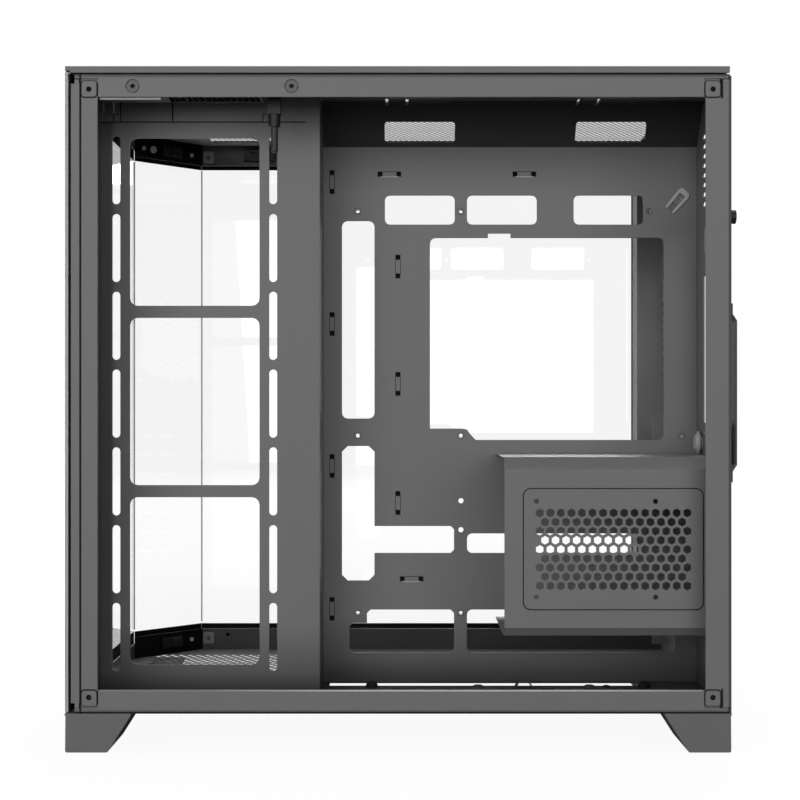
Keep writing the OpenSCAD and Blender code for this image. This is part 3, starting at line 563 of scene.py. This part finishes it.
# %% Clear glass
clear_glass = bpy.data.materials.new("tempered_glass")
clear_glass.use_nodes = True
tree = clear_glass.node_tree
tree.nodes.clear()
pane = add_node(tree, "ShaderNodeBsdfPrincipled", 0, 0)
pane.inputs["Base Color"].default_value = (0.955, 0.96, 0.96, 1)
pane.inputs["Transmission Weight"].default_value = 1.0
pane.inputs["IOR"].default_value = 1.45
smear = add_group(tree, coat_group, -600, 0, "Cloud Scale", 5.0)
tree.links.new(ramp(tree, smear.outputs["Cloud"], 0.0, 1.0, 0.0, 0.03), pane.inputs["Roughness"])
out = add_node(tree, "ShaderNodeOutputMaterial", 300, 0)
tree.links.new(pane.outputs[0], out.inputs["Surface"])
finishes["glass"] = clear_glass
print("glass ready")

# %% [markdown]
# ## Finishing the frame's pieces
# The record names what each piece is made of, and that picks its finish. Three pieces look
# different from others of their material in the photograph, so they get their own.

# %% Put the finishes on the frame's own pieces
slots = {part["node"]: part["material_slot"] for part in frame["record"]["subparts"]}
own_finish = {"motherboard_tray": "tray_steel", "standoffs": "dull_standoff",
              "panel_sockets": "dull_standoff"}
for name, piece in frame["nodes"].items():
    for slot in piece.material_slots:
        slot.material = finishes[own_finish.get(name, slots[name])]
print("finished", len(slots), "frame pieces")

# %% [markdown]
# ## Pierced sheet
# A punched sheet could be cut with booleans, but a thousand cutters are slow and leave a
# ragged mesh. Its outline and holes are instead triangulated flat in one go, keeping only
# the triangles outside the holes, then given thickness and walls. Clean, quick and exact.


# %% Sheet with holes
def add_sheet(bm, plane, outline, holes, low, high):
    """Adds a flat sheet to bm, lying level or facing the open side."""
    to_3d = {"level": lambda p, t: place(p[0], p[1], t),
             "facing": lambda p, t: place(p[0], t, p[1])}[plane]
    loops = [outline] + holes
    points = [Vector(p) for loop in loops for p in loop]
    faces, first = [], 0
    for loop in loops:
        faces.append(list(range(first, first + len(loop))))
        first += len(loop)
    verts, _, tris, from_verts, _, from_faces = delaunay_2d_cdt(points, [], faces, 1, 1e-4)
    ring = {old: new for new, olds in enumerate(from_verts) for old in olds}
    under = [bm.verts.new(to_3d(p, low)) for p in verts]
    over = [bm.verts.new(to_3d(p, high)) for p in verts]
    for tri, source in zip(tris, from_faces):
        if list(source) == [0]:
            bm.faces.new([under[i] for i in tri])
            bm.faces.new([over[i] for i in reversed(tri)])
    for loop in faces:
        for a, b in zip(loop, loop[1:] + loop[:1]):
            a, b = ring[a], ring[b]
            bm.faces.new([under[a], under[b], over[b], over[a]])


def piece_from(bm, name, slot, body="chassis"):
    bmesh.ops.recalc_face_normals(bm, faces=bm.faces)
    mesh = bpy.data.meshes.new(name)
    bm.to_mesh(mesh)
    bm.free()
    piece = bpy.data.objects.new(name, mesh)
    bpy.context.scene.collection.objects.link(piece)
    mesh.materials.append(finishes[slot])
    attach(piece, body)
    print(name, len(mesh.polygons), "faces")
    return piece


print("sheet maker ready")

# %% [markdown]
# ## Outlines
# Every sheet here is drawn from a few plain outlines: boxes, round holes, slots with round
# corners, and fields of hexagons in staggered rows, as a punching tool leaves them.


# %% Outlines
def box_loop(x0, y0, x1, y1):
    return [(x0, y0), (x1, y0), (x1, y1), (x0, y1)]


def round_hole(x, y, diameter, sides=32):
    return [(x + diameter / 2 * math.cos(2 * math.pi * k / sides),
             y + diameter / 2 * math.sin(2 * math.pi * k / sides)) for k in range(sides)]


def slot_loop(x0, y0, x1, y1, r, sides=6):
    loop = []
    corners = ((x1 - r, y1 - r, 0), (x0 + r, y1 - r, 90), (x0 + r, y0 + r, 180), (x1 - r, y0 + r, 270))
    for cx, cy, turn in corners:
        for k in range(sides + 1):
            a = math.radians(turn + 90 * k / sides)
            loop.append((cx + r * math.cos(a), cy + r * math.sin(a)))
    return loop


def hexagon(x, y, flats):
    reach = flats / math.sqrt(3)
    return [(x + reach * math.cos(math.radians(30 + 60 * k)),
             y + reach * math.sin(math.radians(30 + 60 * k))) for k in range(6)]


def hex_field(x0, x1, y0, y1, pitch, flats, inside=lambda x, y: True):
    """Staggered hexagonal holes that fill the box."""
    row = pitch * math.sqrt(3) / 2
    field = []
    for j in range(int((y1 - y0) / row) + 1):
        x = x0 + (j % 2) * pitch / 2
        while x <= x1:
            if inside(x, y0 + row * j):
                field.append(hexagon(x, y0 + row * j, flats))
            x += pitch
    return field


print("outlines ready")

# %% [markdown]
# ## Floor of the case
# The floor is one folded sheet: a fine honeycomb of air holes under the main chamber, two
# low seats for drive screws, and a long slot in front of the tray for cables. The seats are
# turned bowls, made by sweeping a profile round their middle.

# %% Floor with honeycomb
SHEET_LOW, SHEET_HIGH = 0.4, 1.0
SLOT_X = (-49.5, 172.0)
SLOT_D = (86.0, 103.5)
SEAT_X, SEAT_D = 53.1, 85.4
SEAT_PITCH = (76.6, 61.72)
SEAT_RIM = 10.4
SEAT_PROFILE = [(1.6, 1.5), (2.6, 1.5), (5.2, 0.4), (5.2, 1.0), (2.9, 2.5), (1.6, 2.5)]
chassis_plan = [(NOSE_X, 0), (REAR_X, 0), (REAR_X, LEFT_D), (LEFT_D - CORNER_C, LEFT_D),
                (FRONT_X, FRONT_X + CORNER_C), (FRONT_X, 14), (NOSE_X, 14)]


def add_seat(bm, x, depth):
    turns = [2 * math.pi * k / 32 for k in range(32)]
    rings = [[bm.verts.new(place(x + r * math.cos(a), depth + r * math.sin(a), h)) for r, h in SEAT_PROFILE]
             for a in turns]
    for one, two in zip(rings, rings[1:] + rings[:1]):
        for i in range(6):
            j = (i + 1) % 6
            bm.faces.new([one[i], two[i], two[j], one[j]])


seats = [(SEAT_X + dx, SEAT_D - dd) for dx in (0, SEAT_PITCH[0]) for dd in (0, SEAT_PITCH[1])]
air_holes = hex_field(-187.5, 173, 134, 226, 6.75, 5.6)
cable_slot = box_loop(SLOT_X[0], SLOT_D[0], SLOT_X[1], SLOT_D[1])
floor_mesh = bmesh.new()
add_sheet(floor_mesh, "level", chassis_plan,
          air_holes + [cable_slot] + [round_hole(x, d, SEAT_RIM) for x, d in seats], SHEET_LOW, SHEET_HIGH)
for x, d in seats:
    add_seat(floor_mesh, x, d)
print(len(air_holes), "air holes")

# %% [markdown]
# ## Rolled lip and flange
# The near edge of the slot is rolled down, so that cables slide over it without harm, and
# a low flange along the open side holds the corner screws. The lip is swept along a wide
# arc; the flange and its tabs are thin upright sheets.

# %% Rolled lip and flange
LIP_STEPS = 16
LIP_RUN = 11.5
LIP_ROUND = 60.0
TAB_OFFSET = 2.3
TAB_HALF_W = 6.6
flange_plan = [(NOSE_X, 0), (206.8, 0), (206.8, 3.4), (191.8, 3.4), (191.8, 15), (-191, 15), (-191, 3.4),
               (NOSE_X, 3.4)]


def add_rolled_lip(bm):
    runs = [k / LIP_STEPS * LIP_RUN for k in range(LIP_STEPS + 1)]
    drops = [LIP_ROUND - math.sqrt(LIP_ROUND * LIP_ROUND - u * u) for u in runs]
    edges = [[bm.verts.new(place(x, SLOT_D[0] + u, h - v)) for u, v in zip(runs, drops)]
             for x in SLOT_X for h in (1.0, 0.0)]
    for i in range(LIP_STEPS):
        for a, b in ((0, 2), (3, 1), (1, 0), (2, 3)):
            bm.faces.new([edges[a][i], edges[a][i + 1], edges[b][i + 1], edges[b][i]])
    bm.faces.new([edges[k][LIP_STEPS] for k in (0, 2, 3, 1)])
    bm.faces.new([edges[k][0] for k in (0, 1, 3, 2)])


add_rolled_lip(floor_mesh)
add_sheet(floor_mesh, "facing", flange_plan, [], 0, 1)
for side in (-1, 1):
    middle = side * (TAB_X - TAB_OFFSET)
    add_sheet(floor_mesh, "facing", box_loop(middle - TAB_HALF_W, 0.5, middle + TAB_HALF_W, 14.5),
              [round_hole(side * TAB_X, TAB_HEIGHTS[0], 2.8)], 1, 2)
floor_sheet = piece_from(floor_mesh, "floor_sheet", "steel")
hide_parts("floor_pan")

# %% [markdown]
# ## Top cover
# The cover is a flat skin with a short folded edge, pierced with a very fine mesh over the
# top fans and with the holes of the front controls. A separate rim under it, part of the
# frame, holds it above the chassis.


# %% Cover with honeycomb
FOLD_LOW, FOLD_HIGH, COVER_TOP = 405.9, 407.7, 408.7
SKIRT_LOW = 404.6
COVER_T = 1.2
CTRL_D = 13.8
MESH_CORNER = 424


def cover_plan(inset):
    line = CORNER_C + 3 * math.sqrt(2)
    x0 = FRONT_X - 3 + inset
    return [(x0, inset), (REAR_X - inset, inset), (REAR_X - inset, CASE_W - inset),
            (CASE_W - line + 0.4 * inset, CASE_W - inset), (x0, x0 - inset + line - 0.4 * inset)]


def port_hole(x):
    return box_loop(x - 6.8, CTRL_D - 3.05, x + 6.8, CTRL_D + 3.05)


control_holes = [round_hole(-188, CTRL_D, 13.8, 48), round_hole(-168, CTRL_D, 5.8),
                 port_hole(-140.5), port_hole(-122.5),
                 slot_loop(-112.7, CTRL_D - 1.9, -103.3, CTRL_D + 1.9, 1.8),
                 round_hole(-96, CTRL_D, 7.2)]
mesh_area = [(-182, 58), (196, 58), (196, 266), (-152, 266), (-182, 236)]
top_holes = hex_field(-178, 192, 62, 262, 4.4, 3.8, lambda x, y: y < x + MESH_CORNER)
cover_mesh = bmesh.new()
add_sheet(cover_mesh, "level", cover_plan(0), control_holes + [mesh_area], FOLD_HIGH, COVER_TOP)
add_sheet(cover_mesh, "level", mesh_area, top_holes, 408.2, 408.5)
add_sheet(cover_mesh, "level", cover_plan(0), [cover_plan(COVER_T)], FOLD_LOW, FOLD_HIGH)
add_sheet(cover_mesh, "facing", box_loop(-208.9, SKIRT_LOW, REAR_X, FOLD_LOW), [], 0, 1)
cover_skin = piece_from(cover_mesh, "cover_skin", "cover")
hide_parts("top_cover")
print(len(top_holes), "top holes")

# %% [markdown]
# ## Printed glass borders
# The black borders hide the rails behind the panes. Each is a flat frame a fifth of a
# millimetre thick, set just inside the inner face of its pane. Its strips are plain boxes
# that a small function turns from the pane's own measures into the place of the pane.


# %% Glass borders
GLASS_LOW, GLASS_HIGH = 0.7, 405.2
PRINT_TOP, PRINT_BOTTOM = 18.4, 17.5
PRINT_T = 0.2
SLANT = math.sqrt(0.5)


def add_strip(bm, strip, corner_of):
    back = [bm.verts.new(corner_of(u, v, 0.0)) for u, v in strip]
    face = [bm.verts.new(corner_of(u, v, PRINT_T)) for u, v in strip]
    bm.faces.new(back)
    bm.faces.new(face[::-1])
    for a in range(4):
        b = (a + 1) % 4
        bm.faces.new([back[a], back[b], face[b], face[a]])


def border(name, run, corner_of, near=0.0, far=0.0):
    """A frame along a pane: run is its length, corner_of turns along and height to a point."""
    inner_low, inner_high = GLASS_LOW + PRINT_BOTTOM, GLASS_HIGH - PRINT_TOP
    strips = [box_loop(0, GLASS_LOW, run, inner_low), box_loop(0, inner_high, run, GLASS_HIGH)]
    if near:
        strips.append(box_loop(0, inner_low, near, inner_high))
    if far:
        strips.append(box_loop(run - far, inner_low, run, inner_high))
    bm = bmesh.new()
    for strip in strips:
        add_strip(bm, strip, corner_of)
    return piece_from(bm, name, "black")


side_start = LEFT_D - CORNER_C + 0.3
border("side_glass_border", REAR_X - side_start, lambda u, v, t: place(side_start + u, LEFT_D - t, v), far=20)
front_end = FRONT_X + CORNER_C - 0.4
border("front_glass_border", front_end - 0.6, lambda u, v, t: place(FRONT_X + t, 0.6 + u, v), near=13)
corner_run = (LEFT_D - front_end) / SLANT - 1.0
border("corner_glass_border", corner_run,
       lambda u, v, t: place(FRONT_X + 0.4 + (u + t) * SLANT, FRONT_X + 0.4 + CORNER_C + (u - t) * SLANT, v))

# %% [markdown]
# ## Glass joints
# The panes meet edge to edge, and their edges catch the light as a pale upright line at each
# joint. A slim eight-sided bar in a pale tone paints that highlight.

# %% Joint highlights
JOINT_HIGHLIGHT_R = 0.55

bm = bmesh.new()
for x, d in ((FRONT_X + 0.5, FRONT_X + CORNER_C - 0.6), (LEFT_D - CORNER_C + 0.6, LEFT_D - 0.5)):
    add_sheet(bm, "level", round_hole(x, d, 2 * JOINT_HIGHLIGHT_R, 8), [], 20, 386)
piece_from(bm, "glass_joint_highlights", "pale_plastic")

# %% [markdown]
# ## Cable tie strips
# Cable ties slip behind short strips of the tray. Upright strips show a dark hairline on
# both sides, and level ones a dark line above and a lit lower edge. Lines this fine are set on
# the tray as bars a tenth of a millimetre thick: black for the hairlines, and a pale painted
# highlight for the lit edges.

# %% Tie strips
TRAY_D = 105.9
UPRIGHT_TIES = [(-48.3, 351.6), (-48.3, 252), (-48.3, 152.4), (-48.3, 52.2),
                (-2, 292.3), (-2, 210), (-2, 126.4)]
LEVEL_TIES = [(-8, 357.2), (86.7, 357.2), (7.6, 73.2)]
TIE_REACH = 4.9


def bars(name, slot, depth, thick, boxes):
    bm = bmesh.new()
    for box in boxes:
        add_sheet(bm, "facing", box_loop(*box), [], depth, depth + thick)
    return piece_from(bm, name, slot)


dark_lines = [(x + side * 1.75 - 0.2, h - TIE_REACH, x + side * 1.75 + 0.2, h + TIE_REACH)
              for x, h in UPRIGHT_TIES for side in (-1, 1)]
dark_lines += [(x - TIE_REACH, h + 1.5, x + TIE_REACH, h + 1.9) for x, h in LEVEL_TIES]
bars("tie_strip_joints", "black_plastic", TRAY_D, 0.1, dark_lines)
# Painted highlight: pale bars along the lit lower edges of the level strips.
painted_edge_highlights = [(x - 6.2, h - 2.2, x + 6.2, h - 1.5) for x, h in LEVEL_TIES]
bars("tie_strip_highlights", "pale_plastic", TRAY_D, 0.1, painted_edge_highlights)

# %% [markdown]
# ## Fine lines of the open side
# The cross rail has joints between its tabs. The front edge of the black housing catches the
# light, and so does the edge of the front glass, seen from the side; both get a painted
# highlight as a pale bar, and the glass edge has a black strip beside it.

# %% Rail joints, housing highlight, glass edge
rail_joints = [(-187.7, 384.7, -187.1, 401), (-153.0, 384.7, -152.2, 401), (-201, 384.0, -64, 384.6),
               (-192.4, 389.4, -188.6, 389.9), (-192.4, 384.7, -191.9, 389.3), (-92.6, 384.7, -92.0, 389.3),
               (-92.6, 389.4, -89.4, 389.9)]
bars("rail_joint_lines", "black", 56.6, 0.1, rail_joints)
# Painted highlights: pale bars on the lit housing edge and on the lit edge of the front glass.
bars("housing_edge_highlight", "pale_plastic", 2.2, 0.8, [(-190.6, 388.0, -152, 389.8)])
bars("glass_edge_highlight", "pale_plastic", 0.1, 0.3, [(-211.6, 0.9, -210.0, 405.0)])
bars("glass_edge_gap", "black", 0.1, 0.3, [(-209.8, 0.9, -208.5, 403.6)])

# %% [markdown]
# ## Shaded rings
# Painted shade: a black ring round the bore of each screw hole of the corner tabs, and a
# dark ring along the step round the pressed field of the drive bracket. Both are flat rings
# just clear of the steel.

# %% Shaded rings
bm = bmesh.new()
for side in (-1, 1):
    for h in TAB_HEIGHTS:
        x = side * TAB_X
        add_sheet(bm, "facing", round_hole(x, h, 3.3), [round_hole(x, h, 1.1, 12)], 0.8, 0.95)
piece_from(bm, "frame_hole_shade", "black")
bm = bmesh.new()
add_sheet(bm, "facing", slot_loop(78.4, 62.9, 194.8, 141.5, 5.1),
          [slot_loop(79.05, 63.55, 194.15, 140.85, 4.5)], 18.1, 18.28)
piece_from(bm, "drive_plate_step_shade", "black")
